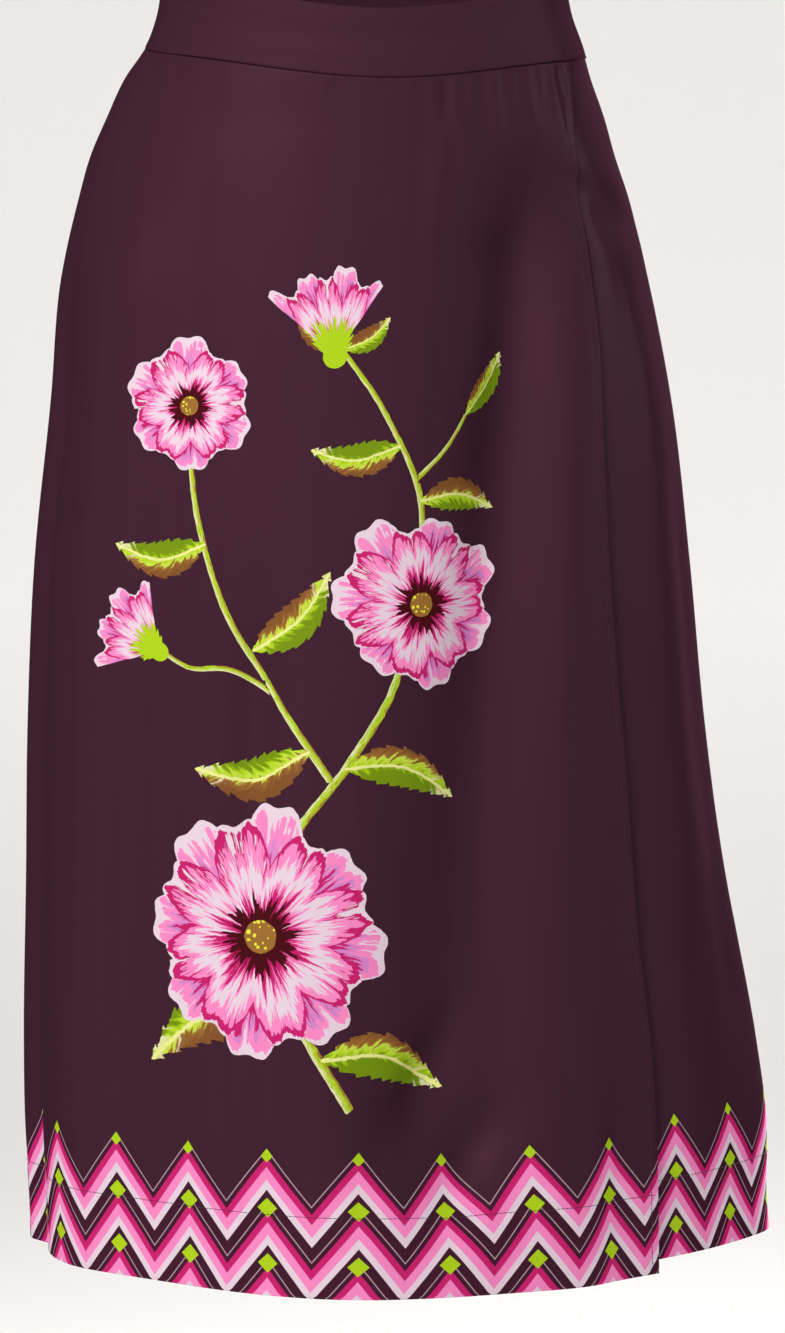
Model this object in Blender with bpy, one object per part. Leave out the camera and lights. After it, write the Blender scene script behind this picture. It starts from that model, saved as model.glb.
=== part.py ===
"""A wrap skirt in satin, worn: a shaped waistband, a front that laps over an under front, and a back.

Metres, +Z up. The front faces -Y and the wearer's left is at +X. The origin is the centre of the
waist opening, level with the band's top edge at the sides.

Every piece of cloth is placed by its way round the body. The way is -1 at the wearer's right side
seam, 0 at the front's middle, 1 at the left side seam and 3 back at the right one, from where the
upper layer of the wrap goes on to about 4.8. The drop is the distance below the origin.
"""

import math
from collections import namedtuple

import bpy
import numpy as np
from mathutils import Matrix, Vector

MM = 0.001

# Cloth walls and gaps
CLOTH = 1.2 * MM
HEM_CLOTH = 2.0 * MM  # the cloth with its turn-up
BAND_CLOTH = 2.0 * MM
BAND_PROUD = 0.4 * MM  # how far the doubled band stands out past the panels
SEAM_GAP = 0.3 * MM
LAP_AT_BAND = 4.6 * MM  # how far the upper layer lies outside the lower one
LAP_BELOW = 3.2 * MM
LAP_EASE = 60 * MM  # the drop over which the one becomes the other

# Heights
BAND_HEIGHT = 41 * MM
BAND_DIP = 10.4 * MM  # the band hangs lower near the front's middle
BAND_TILT = 6.2 * MM  # and its left side lower than its right
SKIRT_LENGTH = 777 * MM
UNDER_RISE = 7.6 * MM  # the under front's hem is this much higher
HEM_TURN = 50 * MM
PANEL_LENGTH = SKIRT_LENGTH - BAND_HEIGHT

# Where pieces end, as ways round the body
TURN = 4.0
LEFT_SEAM = 1.0
UPPER_LAYER = 3.0  # the right side seam again, one turn on
FRONT_MIDDLE = 4.0
INNER_END = -0.6
BAND_END = 4.845
DIP_MIDDLE, DIP_SPREAD = 0.05, 0.29
LAP_IN = 0.28  # the ways over which the upper layer leaves the lower one

# A section's half widths to each side, its depths, and the power of the front's outline:
# 2 is an ellipse, and less draws the cloth straighter from the middle to the sides.
BACK_POWER = 2.1
MIDDLE_SOFTNESS = 0.25
Section = namedtuple("Section", "drop right left front back power")
SECTIONS = [
    Section(0.000, 0.1240, 0.1195, 0.0920, 0.0980, 2.20),
    Section(0.020, 0.1267, 0.1232, 0.0945, 0.1010, 2.20),
    Section(0.041, 0.1344, 0.1308, 0.0980, 0.1060, 2.20),
    Section(0.060, 0.1472, 0.1362, 0.1015, 0.1110, 2.20),
    Section(0.083, 0.1580, 0.1443, 0.1060, 0.1180, 2.20),
    Section(0.108, 0.1687, 0.1514, 0.1100, 0.1235, 2.20),
    Section(0.133, 0.1757, 0.1598, 0.1140, 0.1280, 2.15),
    Section(0.182, 0.1869, 0.1717, 0.1210, 0.1330, 2.10),
    Section(0.256, 0.1937, 0.1862, 0.1310, 0.1360, 2.00),
    Section(0.355, 0.2042, 0.1980, 0.1450, 0.1390, 1.90),
    Section(0.454, 0.2090, 0.2075, 0.1580, 0.1460, 1.80),
    Section(0.553, 0.2106, 0.2210, 0.1700, 0.1540, 1.72),
    Section(0.651, 0.2126, 0.2390, 0.1820, 0.1630, 1.65),
    Section(0.701, 0.2122, 0.2452, 0.1885, 0.1680, 1.60),
    Section(0.750, 0.2098, 0.2455, 0.1950, 0.1730, 1.53),
    Section(0.800, 0.2085, 0.2510, 0.2010, 0.1790, 1.48),
]

# The upper front's free edge, as its distance to the left of the front's middle
EdgePoint = namedtuple("EdgePoint", "drop x")
FREE_EDGE = [
    EdgePoint(0.045, 0.1188),
    EdgePoint(0.110, 0.1261),
    EdgePoint(0.170, 0.1312),
    EdgePoint(0.270, 0.1402),
    EdgePoint(0.380, 0.1480),
    EdgePoint(0.470, 0.1575),
    EdgePoint(0.560, 0.1640),
    EdgePoint(0.650, 0.1740),
    EdgePoint(0.800, 0.1785),
]

# Soft folds: the way at the top and the foot, the drops between which it shows, half its width,
# and its depth, which is minus for a valley. Both layers of the wrap follow a front's folds.
FOLD_FADE = 90 * MM
Fold = namedtuple("Fold", "way_top way_foot top foot width depth")
FOLDS = [
    Fold(0.34, 0.02, 0.12, 0.70, 0.030, -0.0050),
    Fold(0.46, 0.26, 0.10, 0.95, 0.034, 0.0050),
    Fold(0.53, 0.50, 0.36, 0.95, 0.020, -0.0045),
    Fold(0.10, 0.27, 0.62, 0.95, 0.026, -0.0040),
    Fold(-0.21, -0.23, 0.34, 0.56, 0.020, -0.0018),
    Fold(-0.45, -0.40, 0.20, 0.95, 0.045, 0.0030),
    Fold(-0.80, -0.77, 0.22, 0.90, 0.010, -0.0026),
    Fold(0.76, 0.72, 0.16, 0.60, 0.022, 0.0030),
    Fold(0.86, 0.84, 0.10, 0.24, 0.020, -0.0020),
    Fold(0.90, 0.88, 0.50, 0.95, 0.024, 0.0030),
    Fold(1.24, 1.30, 0.20, 0.95, 0.026, -0.0050),
    Fold(1.45, 1.50, 0.34, 0.95, 0.034, 0.0046),
    Fold(1.72, 1.68, 0.26, 0.95, 0.024, -0.0055),
    Fold(2.04, 1.96, 0.40, 0.95, 0.040, 0.0050),
    Fold(2.26, 2.30, 0.22, 0.95, 0.028, -0.0056),
    Fold(2.52, 2.48, 0.36, 0.95, 0.030, 0.0040),
    Fold(2.74, 2.70, 0.24, 0.95, 0.022, -0.0040),
]

# Gathers taken into the upper front's waist seam: the way, the lean of each over its length,
# half its width, and its height
GATHER_RISE = 5 * MM
Gather = namedtuple("Gather", "way lean length width height")
GATHERS = [
    Gather(4.193, -0.010, 0.022, 0.0030, 0.0011),
    Gather(4.257, -0.020, 0.040, 0.0034, 0.0017),
    Gather(4.300, -0.016, 0.026, 0.0026, 0.0013),
    Gather(4.375, -0.032, 0.058, 0.0036, 0.0015),
    Gather(4.498, -0.020, 0.034, 0.0034, 0.0011),
    Gather(4.600, -0.016, 0.042, 0.0034, 0.0009),
    Gather(4.672, -0.010, 0.026, 0.0028, 0.0009),
]

# Rows and columns of the walls
FIRST_ROW, ROW_GROWTH, LAST_ROW = 5 * MM, 1.32, 52 * MM
HEM_STEP = 0.5 * MM
UPPER_COLUMNS = [(0.0, 0.10, 5), (0.10, 0.66, 12), (0.66, 1.0, 25)]
UNDER_COLUMNS = [(0.0, 1.0, 20)]
BACK_COLUMNS = [(0.0, 0.12, 5), (0.12, 0.88, 22), (0.88, 1.0, 5)]
BAND_COLUMNS = [(0.0, 1.0, 96)]
BAND_ROWS = 3

EDGE_ANGLE = math.radians(50)

# Flat hooks and bars, between the layers of the band
HOOK_PLATE, HOOK_TONGUE, HOOK_HEIGHT = 8 * MM, 5 * MM, 7 * MM
HOOK_METAL, HOOK_MOUTH = 0.45 * MM, 0.8 * MM
BAR_LENGTH, BAR_WIDTH, BAR_METAL = 11.6 * MM, 1.2 * MM, 0.4 * MM
BEND_STEPS = 8
OUTER_HOOK_WAY, INNER_HOOK_WAY = 0.795, -0.54

# sRGB colours and surfaces
SATIN = ("aubergine_satin", (0.27, 0.155, 0.21), 0.42, 0.0)
NICKEL = ("nickel_plate", (0.75, 0.74, 0.72), 0.28, 1.0)


def smooth_curve(at, values, where):
    """The values on a smooth curve through the points given."""
    at, values = np.array(at), np.array(values)
    slopes = np.gradient(values, at)
    where = np.clip(where, at[0], at[-1])
    left = np.clip(np.searchsorted(at, where) - 1, 0, len(at) - 2)
    step = at[left + 1] - at[left]
    s = (where - at[left]) / step
    rise = values[left + 1] - values[left]
    start = slopes[left] * step - rise
    end = rise - slopes[left + 1] * step
    return values[left] + rise * s + s * (1 - s) * (start * (1 - s) + end * s)


def column_of(rows, name, drop):
    return smooth_curve([row.drop for row in rows], [getattr(row, name) for row in rows], drop)


def ease(share):
    share = np.clip(share, 0.0, 1.0)
    return share * share * (3 - 2 * share)


def half_turns(way):
    """Which half of the body a way lies on, and -1 to 1 across that half."""
    half = np.floor((way + 1) / 2)
    return half, way - 2 * half


def plan(way, drop):
    """X and Y of the section at this drop."""
    half, across = half_turns(way)
    front = half % 2 == 0
    heading = np.where(front, 1.0, -1.0)
    ratio = np.abs(np.sin(across * math.pi / 2))
    left, right = column_of(SECTIONS, "left", drop), column_of(SECTIONS, "right", drop)
    width = np.where(across * heading > 0, left, right)
    depth = np.where(
        front, column_of(SECTIONS, "front", drop), column_of(SECTIONS, "back", drop)
    )
    power = np.where(front, column_of(SECTIONS, "power", drop), BACK_POWER)
    soft = MIDDLE_SOFTNESS**2
    least, most = soft ** (power / 2), (1 + soft) ** (power / 2)
    share = ((ratio**2 + soft) ** (power / 2) - least) / (most - least)
    reach = np.clip(1 - share, 0.0, 1.0) ** (1 / power)
    return width * np.sign(across) * ratio * heading, -heading * depth * reach


def outward(way, drop):
    """The level direction that points out of the cloth."""
    step = 1e-3
    ahead, behind = plan(way + step, drop), plan(way - step, drop)
    x, y = ahead[0] - behind[0], ahead[1] - behind[1]
    length = np.hypot(x, y)
    return y / length, -x / length


def quarter_length(drop):
    """The mean length of cloth in one way, a quarter of the way round."""
    names = ("left", "right", "front", "back")
    return sum(column_of(SECTIONS, name, drop) for name in names) * math.pi / 8


def fold_relief(way, drop):
    """How far the soft folds move the cloth out."""
    half, across = half_turns(way)
    place = across + 2 * (half % 2)
    relief = np.zeros_like(drop)
    for fold in FOLDS:
        run = np.clip((drop - fold.top) / (fold.foot - fold.top), 0.0, 1.0)
        middle = fold.way_top + (fold.way_foot - fold.way_top) * run
        ways_off = (place - middle + TURN / 2) % TURN - TURN / 2
        off = ways_off * quarter_length(drop) / fold.width
        shown = ease((drop - fold.top) / FOLD_FADE) * ease((fold.foot - drop) / FOLD_FADE)
        relief += fold.depth * shown * np.exp(-(off**2) / 2)
    return relief


def gather_relief(way, drop):
    """The short ridges under the waist seam, on the upper front alone."""
    below = drop - seam_drop(way)
    relief = np.zeros_like(drop)
    for gather in GATHERS:
        run = below / gather.length
        off = (way - gather.way - gather.lean * run) * quarter_length(drop) / gather.width
        shown = ease(below / GATHER_RISE) * ease(1 - run)
        relief += gather.height * shown * (np.exp(-(off**2) / 2) - 0.5 * np.exp(-(off**2) / 8))
    return relief


def lap(way, drop):
    """How far the wrap's upper layer lies outside the lower one."""
    below = ease((drop - BAND_HEIGHT) / LAP_EASE)
    full = LAP_AT_BAND + (LAP_BELOW - LAP_AT_BAND) * below
    return full * ease((way - UPPER_LAYER) / LAP_IN)


def skin(way, drop, out):
    """Points of the cloth, this far out from the lower layer."""
    x, y = plan(way, drop)
    x_out, y_out = outward(way, drop)
    reach = out + fold_relief(way, drop)
    return np.stack([x + x_out * reach, y + y_out * reach, -drop], axis=-1)


def seam_drop(way):
    """The drop of the waist seam, which tilts to the left and dips near the front's middle."""
    half, across = half_turns(way)
    front = half % 2 == 0
    dip = np.exp(-(((across - DIP_MIDDLE) / DIP_SPREAD) ** 2) / 2)
    tilt = np.where(front, 1 + across, 1 - across) / 2
    return BAND_HEIGHT + BAND_TILT * tilt + np.where(front, BAND_DIP * dip, 0.0)


def hem_drop(way):
    """The drop of the hem: level on the upper front, higher under it, and easing over the back."""
    back_share = ease((way - LEFT_SEAM) / 2)
    return SKIRT_LENGTH - UNDER_RISE * (1 - back_share)


def free_edge_way(drop):
    """The way of the upper front's free edge."""
    ratio = column_of(FREE_EDGE, "x", drop) / column_of(SECTIONS, "left", drop)
    return FRONT_MIDDLE + 2 / math.pi * np.arcsin(ratio)


def spaced(stretches):
    """Shares from 0 to 1, given as stretches of so many equal steps."""
    shares = [np.linspace(a, b, steps, endpoint=False) for a, b, steps in stretches]
    return np.append(np.concatenate(shares), 1.0)


def panel_rows():
    """Shares of a panel's length, close together under the band and at the hem's turn-up."""
    turn = PANEL_LENGTH - HEM_TURN
    rows, step = [0.0], FIRST_ROW
    while rows[-1] + 1.5 * step < turn:
        rows.append(rows[-1] + step)
        step = min(step * ROW_GROWTH, LAST_ROW)
    rows += [turn, turn + HEM_STEP, PANEL_LENGTH - HEM_TURN / 2, PANEL_LENGTH]
    return np.array(rows) / PANEL_LENGTH


def surface(name, kind):
    """A material, from its sRGB colour, roughness and metallic value."""
    material = bpy.data.materials.get(kind[0])
    if material is None:
        material = bpy.data.materials.new(kind[0])
        material.use_nodes = True
        shader = material.node_tree.nodes["Principled BSDF"]
        linear = [((c + 0.055) / 1.055) ** 2.4 for c in kind[1]]
        shader.inputs["Base Color"].default_value = (*linear, 1.0)
        shader.inputs["Roughness"].default_value = kind[2]
        shader.inputs["Metallic"].default_value = kind[3]
    bpy.data.objects[name].data.materials.append(material)


def wall(name, outer, inner):
    """A wall lofted between two grids of points, so that its ends stay square to their seams."""
    rows, columns = outer.shape[:2]
    index = np.arange(rows * columns).reshape(rows, columns)
    under = index + rows * columns
    quads = [index[:-1, :-1], index[1:, :-1], index[1:, 1:], index[:-1, 1:]]
    faces = np.stack(quads, axis=-1).reshape(-1, 4)
    around = np.concatenate([index[0, :-1], index[:-1, -1], index[-1, :0:-1], index[:0:-1, 0]])
    below = np.concatenate([under[0, :-1], under[:-1, -1], under[-1, :0:-1], under[:0:-1, 0]])
    ahead, ahead_below = np.roll(around, -1), np.roll(below, -1)
    rim = np.stack([around, ahead, ahead_below, below], axis=-1)
    inside = faces[:, ::-1] + rows * columns
    mesh = bpy.data.meshes.new(name)
    points = np.concatenate([outer.reshape(-1, 3), inner.reshape(-1, 3)])
    mesh.from_pydata(points.tolist(), [], np.concatenate([faces, inside, rim]).tolist())
    mesh.shade_smooth()
    mesh.set_sharp_from_angle(angle=EDGE_ANGLE)
    piece = bpy.data.objects.new(name, mesh)
    skirt.objects.link(piece)
    surface(name, SATIN)


def panel(name, first_way, last_way, columns, upper=False):
    """A panel from the waist seam to the hem, between two ways that may depend on the drop."""
    across, down = np.meshgrid(spaced(columns), panel_rows())
    way = first_way + (last_way(SKIRT_LENGTH * down) - first_way) * across
    for _ in range(3):
        top, foot = seam_drop(way) + SEAM_GAP / 2, hem_drop(way)
        drop = top + (foot - top) * down
        way = first_way + (last_way(drop) - first_way) * across
    doubled = down > 1 - (HEM_TURN - HEM_STEP / 2) / PANEL_LENGTH
    out = lap(way, drop) + gather_relief(way, drop) if upper else np.zeros_like(drop)
    outer = skin(way, drop, out)
    inner = skin(way, drop, out - np.where(doubled, HEM_CLOTH, CLOTH))
    at_side_seam = np.isin(way, (LEFT_SEAM, UPPER_LAYER))
    for points in (outer, inner):
        points[at_side_seam, 1] += np.sign(points[..., 1].mean()) * SEAM_GAP / 2
    wall(name, outer, inner)


def waistband():
    """One strip, once round the body and on over itself."""
    across, down = np.meshgrid(spaced(BAND_COLUMNS), np.linspace(0, 1, BAND_ROWS + 1))
    way = INNER_END + (BAND_END - INNER_END) * across
    foot = seam_drop(way) - SEAM_GAP / 2
    drop = foot - BAND_HEIGHT * (1 - down)
    out = BAND_PROUD + LAP_AT_BAND * ease((way - UPPER_LAYER) / LAP_IN)
    wall("waistband", skin(way, drop, out), skin(way, drop, out - BAND_CLOTH))


def band_frame(way, out, facing):
    """A place between the band's layers: X along the band, Y out of it, or in where facing is -1."""
    middle = float(seam_drop(np.array([way]))[0]) - BAND_HEIGHT / 2
    step = 1 * MM

    def point(way_off=0.0, drop_off=0.0):
        return Vector(skin(np.array([way + way_off]), np.array([middle + drop_off]), out)[0])

    along = (point(way_off=0.01) - point(way_off=-0.01)).normalized()
    up = (point(drop_off=-step) - point(drop_off=step)).normalized()
    along = (along - up * along.dot(up)).normalized()
    away = along.cross(up) * facing
    turn = Matrix((along, away, along.cross(away))).transposed()
    return Matrix.Translation(point()) @ turn.to_4x4()


def plate(name, outline, half_width, place):
    """A flat outline made solid, half_width to each side."""
    curve = bpy.data.curves.new(name, "CURVE")
    curve.dimensions = "2D"
    curve.fill_mode = "BOTH"
    curve.extrude = half_width
    line = curve.splines.new("POLY")
    line.points.add(len(outline) - 1)
    for point, (x, y) in zip(line.points, outline):
        point.co = (x, y, 0.0, 1.0)
    line.use_cyclic_u = True
    piece = bpy.data.objects.new(name, curve)
    piece.matrix_world = place
    skirt.objects.link(piece)
    surface(name, NICKEL)


def bend(centre, radius, turn):
    """Points round the hook's bend, from below the centre to above it or back."""
    angles = np.linspace(-math.pi / 2, math.pi / 2, BEND_STEPS + 1)[::turn]
    return [(centre[0] + radius * math.cos(a), centre[1] + radius * math.sin(a)) for a in angles]


def hook_and_bar(name, way, hook_outside):
    """A flat hook on one layer of the band, caught on a bar that stands on the other."""
    radius = (HOOK_MOUTH + HOOK_METAL) / 2
    half_metal = HOOK_METAL / 2
    gap_middle = (BAND_PROUD + LAP_AT_BAND + BAND_PROUD - BAND_CLOTH) / 2
    centre = (HOOK_PLATE / 2, 0.0)
    hook = [(-HOOK_PLATE / 2, -radius - half_metal)]
    hook += bend(centre, radius + half_metal, 1)
    hook += [(HOOK_PLATE / 2 - HOOK_TONGUE, radius + half_metal)]
    hook += [(HOOK_PLATE / 2 - HOOK_TONGUE, radius - half_metal)]
    hook += bend(centre, radius - half_metal, -1)
    hook += [(-HOOK_PLATE / 2, -radius + half_metal)]
    facing = -1 if hook_outside else 1
    place = band_frame(way, gap_middle, facing)
    plate(f"{name}_hook", hook, HOOK_HEIGHT / 2, place)

    foot, top = radius + half_metal, -BAR_METAL / 2
    outside, inside = BAR_LENGTH / 2, BAR_LENGTH / 2 - BAR_WIDTH
    bar = [(-outside, foot), (-outside, top), (outside, top), (outside, foot)]
    bar += [(inside, foot), (inside, -top), (-inside, -top), (-inside, foot)]
    on_edge = Matrix.Translation((HOOK_PLATE / 2 - BAR_WIDTH / 2, 0, 0))
    on_edge @= Matrix.Rotation(math.pi / 2, 4, "Y")
    plate(f"{name}_bar", bar, BAR_WIDTH / 2, place @ on_edge)


for old in list(bpy.data.objects):
    bpy.data.objects.remove(old)
skirt = bpy.data.collections.new("wrap_skirt")
bpy.context.scene.collection.children.link(skirt)

panel("front_underlap", INNER_END, lambda drop: np.full_like(drop, LEFT_SEAM), UNDER_COLUMNS)
panel("back", LEFT_SEAM, lambda drop: np.full_like(drop, UPPER_LAYER), BACK_COLUMNS)
panel("front_overlap", UPPER_LAYER, free_edge_way, UPPER_COLUMNS, upper=True)
waistband()
hook_and_bar("outer", OUTER_HOOK_WAY, hook_outside=True)
hook_and_bar("inner", INNER_HOOK_WAY, hook_outside=False)
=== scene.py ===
"""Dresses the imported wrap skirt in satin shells, with their folds, print, seams and stitching.

Metres, +Z up. The front faces -Y and the wearer's left is at +X, as in the frame.

Cloth is placed by its way round the body and its drop below the origin. The way is -1 at the
wearer's right side seam, 0 at the front's middle, 1 at the left side seam and 3 at the right one
again, from where the wrap's upper layer goes on to about 4.8.
"""

import math
from collections import namedtuple

import bpy
import numpy as np
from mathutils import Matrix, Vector


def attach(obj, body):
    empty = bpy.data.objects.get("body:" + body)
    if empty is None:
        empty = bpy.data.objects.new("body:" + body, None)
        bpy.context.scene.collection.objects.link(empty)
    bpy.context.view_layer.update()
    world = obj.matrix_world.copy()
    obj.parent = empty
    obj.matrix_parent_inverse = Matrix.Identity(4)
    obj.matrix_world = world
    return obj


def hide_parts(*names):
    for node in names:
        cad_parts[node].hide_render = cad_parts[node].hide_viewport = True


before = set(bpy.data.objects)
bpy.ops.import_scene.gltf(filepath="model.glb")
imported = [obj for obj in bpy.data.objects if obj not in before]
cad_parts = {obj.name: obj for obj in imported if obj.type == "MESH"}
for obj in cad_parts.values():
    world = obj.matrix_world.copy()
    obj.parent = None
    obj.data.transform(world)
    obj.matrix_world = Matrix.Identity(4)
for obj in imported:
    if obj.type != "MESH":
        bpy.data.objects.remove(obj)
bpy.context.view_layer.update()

MM = 0.001

# The cut, as in the solids, but for a closer lap and a free edge that allows for the deeper folds
SEAM_GAP = 0.3 * MM
BAND_PROUD = 0.4 * MM
LAP_AT_BAND, LAP_BELOW, LAP_EASE = 4.6 * MM, 2.4 * MM, 45 * MM
BAND_HEIGHT, BAND_DIP, BAND_TILT = 41 * MM, 10.4 * MM, 6.2 * MM
SKIRT_LENGTH, UNDER_RISE, HEM_TURN = 777 * MM, 7.6 * MM, 50 * MM
TURN, LEFT_SEAM, UPPER_LAYER, FRONT_MIDDLE = 4.0, 1.0, 3.0, 4.0
INNER_END, BAND_END = -0.6, 4.845
DIP_MIDDLE, DIP_SPREAD, LAP_IN = 0.05, 0.29, 0.28
BACK_POWER, MIDDLE_SOFTNESS = 2.1, 0.25

# Real thicknesses of the sewn cloth
CLOTH = 0.9 * MM
TURNED_CLOTH = 1.7 * MM
BAND_CLOTH = 1.7 * MM
EDGE_TURN = 13 * MM  # the free edges are turned in this far
TURNING = 12 * MM  # seam turnings, pressed open inside
TURNING_CLOTH, TURNING_GAP = 0.4 * MM, 0.15 * MM
TURNING_TOP_GAP, TURNING_FOOT_GAP = 1 * MM, 3 * MM
TURNING_COLUMNS, TURNING_ROWS = 17, 90
SEAM_GROOVE, SEAM_GROOVE_WIDTH = 0.25 * MM, 0.08

Section = namedtuple("Section", "drop right left front back power")
SECTIONS = [Section(*row) for row in (
    (0.000, 0.1240, 0.1195, 0.0920, 0.0980, 2.20),
    (0.020, 0.1267, 0.1232, 0.0945, 0.1010, 2.20),
    (0.041, 0.1344, 0.1308, 0.0980, 0.1060, 2.20),
    (0.060, 0.1472, 0.1362, 0.1015, 0.1110, 2.20),
    (0.083, 0.1580, 0.1443, 0.1060, 0.1180, 2.20),
    (0.108, 0.1687, 0.1514, 0.1100, 0.1235, 2.20),
    (0.133, 0.1757, 0.1598, 0.1140, 0.1280, 2.15),
    (0.182, 0.1869, 0.1717, 0.1210, 0.1330, 2.10),
    (0.256, 0.1937, 0.1862, 0.1310, 0.1360, 2.00),
    (0.355, 0.2042, 0.1980, 0.1450, 0.1390, 1.90),
    (0.454, 0.2090, 0.2075, 0.1580, 0.1460, 1.80),
    (0.553, 0.2106, 0.2210, 0.1700, 0.1540, 1.72),
    (0.651, 0.2126, 0.2390, 0.1820, 0.1630, 1.65),
    (0.701, 0.2122, 0.2452, 0.1885, 0.1680, 1.60),
    (0.750, 0.2098, 0.2455, 0.1950, 0.1730, 1.53),
    (0.800, 0.2085, 0.2510, 0.2010, 0.1790, 1.48),
)]

EdgePoint = namedtuple("EdgePoint", "drop x")
FREE_EDGE = [EdgePoint(*row) for row in (
    (0.045, 0.1188), (0.110, 0.1264), (0.165, 0.1338), (0.215, 0.1390), (0.270, 0.1412),
    (0.380, 0.1470), (0.470, 0.1545), (0.560, 0.1612), (0.650, 0.1712), (0.800, 0.1755),
)]

# The soft folds stand near the solids' own, and are as deep as the satin falls: each one's way at
# the top and the foot, the drops between which it shows, half its width, and its depth, which is
# minus for a trough. A fold fades over FOLD_FADE, or over a share of its length if it is short.
FOLD_FADE, FOLD_FADE_SHARE = 90 * MM, 0.45
FOLD_NARROW, FOLD_WIDEN = 0.75, 0.5  # shares of its width: at its top, and what its foot adds
Fold = namedtuple("Fold", "way_top way_foot top foot width depth")
FOLDS = [Fold(*row) for row in (
    (0.52, 0.11, 0.08, 0.76, 0.027, -0.0230),
    (0.53, 0.315, 0.16, 0.95, 0.018, 0.0065),
    (0.24, 0.03, 0.59, 0.72, 0.011, -0.0065),
    (0.33, 0.07, 0.64, 0.79, 0.011, -0.0060),
    (0.43, 0.41, 0.63, 0.80, 0.009, -0.0045),
    (-0.20, -0.215, 0.34, 0.57, 0.009, -0.0075),
    (-0.54, -0.61, 0.10, 0.95, 0.024, 0.0080),
    (-0.84, -0.86, 0.14, 0.92, 0.018, -0.0090),
    (0.48, 0.80, 0.105, 0.165, 0.024, -0.0040),
    (0.76, 0.72, 0.16, 0.60, 0.020, 0.0030),
    (0.86, 0.84, 0.26, 0.70, 0.018, -0.0030),
    (0.92, 0.90, 0.50, 0.95, 0.022, 0.0025),
    (1.22, 1.30, 0.18, 0.95, 0.022, -0.0110),
    (1.44, 1.50, 0.34, 0.95, 0.026, 0.0085),
    (1.70, 1.64, 0.24, 0.95, 0.018, -0.0130),
    (2.05, 1.95, 0.40, 0.95, 0.034, 0.0095),
    (2.24, 2.31, 0.20, 0.95, 0.022, -0.0170),
    (2.54, 2.47, 0.36, 0.95, 0.026, 0.0090),
    (2.75, 2.69, 0.22, 0.95, 0.019, -0.0095),
)]

# Gathers taken into the upper front's waist seam: the way, its lean over the length, the length,
# half the width, and the height. A shallow hollow, twice as wide, lies round each.
GATHER_RISE, GATHER_FALL, GATHER_HOLLOW = 4 * MM, 1.5, 0.5
Gather = namedtuple("Gather", "way lean length width height")
GATHERS = [Gather(*row) for row in (
    (4.193, -0.010, 0.030, 0.0030, 0.0016),
    (4.257, -0.020, 0.052, 0.0034, 0.0024),
    (4.300, -0.016, 0.034, 0.0026, 0.0019),
    (4.375, -0.032, 0.070, 0.0038, 0.0022),
    (4.440, -0.018, 0.030, 0.0026, 0.0012),
    (4.498, -0.020, 0.044, 0.0034, 0.0016),
    (4.552, -0.014, 0.026, 0.0024, 0.0011),
    (4.600, -0.016, 0.054, 0.0034, 0.0014),
    (4.672, -0.010, 0.034, 0.0028, 0.0013),
)]

# Fine creases on top of the folds, in the same terms
CREASES = [Fold(*row) for row in (
    (-0.62, -0.60, 0.26, 0.66, 0.012, -0.0006),
    (-0.33, -0.36, 0.30, 0.90, 0.014, -0.0008),
    (-0.10, -0.12, 0.42, 0.80, 0.012, 0.0006),
    (0.36, 0.20, 0.045, 0.20, 0.006, 0.0017),
    (0.29, 0.14, 0.050, 0.17, 0.006, 0.0012),
    (0.16, 0.10, 0.14, 0.44, 0.012, 0.0007),
    (0.40, 0.20, 0.18, 0.62, 0.009, -0.0007),
    (0.56, 0.40, 0.12, 0.40, 0.010, -0.0008),
    (0.62, 0.58, 0.30, 0.72, 0.010, 0.0006),
    (0.70, 0.69, 0.10, 0.34, 0.008, -0.0006),
    (1.12, 1.10, 0.16, 0.60, 0.012, 0.0008),
    (1.36, 1.40, 0.30, 0.80, 0.012, -0.0010),
    (1.60, 1.57, 0.20, 0.58, 0.010, 0.0008),
    (1.86, 1.84, 0.30, 0.90, 0.014, -0.0010),
    (2.14, 2.12, 0.36, 0.84, 0.012, 0.0009),
    (2.40, 2.38, 0.22, 0.70, 0.012, 0.0008),
    (2.62, 2.60, 0.40, 0.90, 0.010, -0.0008),
    (2.88, 2.90, 0.18, 0.64, 0.012, 0.0008),
)]

# Puckers that a row of stitches draws the cloth into: each wave's length and height
PUCKERS = [(0.0131, 0.00007), (0.0187, 0.00009), (0.0313, 0.00012)]
PUCKER_REACH, PUCKER_PHASE = 5 * MM, 900
# At the waist seam they are lower and closer, and reach further down
SEAM_PUCKER, SEAM_PUCKER_CLOSER, SEAM_PUCKER_NEAR = 0.8, 1.3, 0.5
SEAM_PUCKER_RISE, BAND_PUCKER_CLOSER = 8 * MM, 1.2
STITCH_SINK, STITCH_SINK_WIDTH = 0.22 * MM, 1.1 * MM
TURN_STEP, TURN_STEP_WIDTH = 0.22 * MM, 2.0 * MM  # how far the doubled cloth stands out

# Soft ripples along the band, where its stiffening has been bent: how far down, half the width,
# the height, and the ways between which each shows, easing in and out over a third of a way
BandRipple = namedtuple("BandRipple", "down width height way_start way_end")
BAND_RIPPLES = [BandRipple(*row) for row in (
    (0.24, 0.0030, 0.00035, -0.75, 0.55),
    (0.47, 0.0042, -0.00045, -0.40, 0.80),
    (0.70, 0.0034, 0.00030, -0.85, 0.20),
    (0.36, 0.0030, 0.00035, 1.20, 2.10),
    (0.62, 0.0038, -0.00040, 1.60, 2.80),
)]

# Two darts shape the back
DART_WAYS = (1.66, 2.34)
DART_LENGTH, DART_DEPTH, DART_WIDTH = 118 * MM, 0.45 * MM, 0.9 * MM
DART_SWELL, DART_SWELL_WIDTH = 2 * DART_DEPTH, 9 * DART_WIDTH

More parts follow.
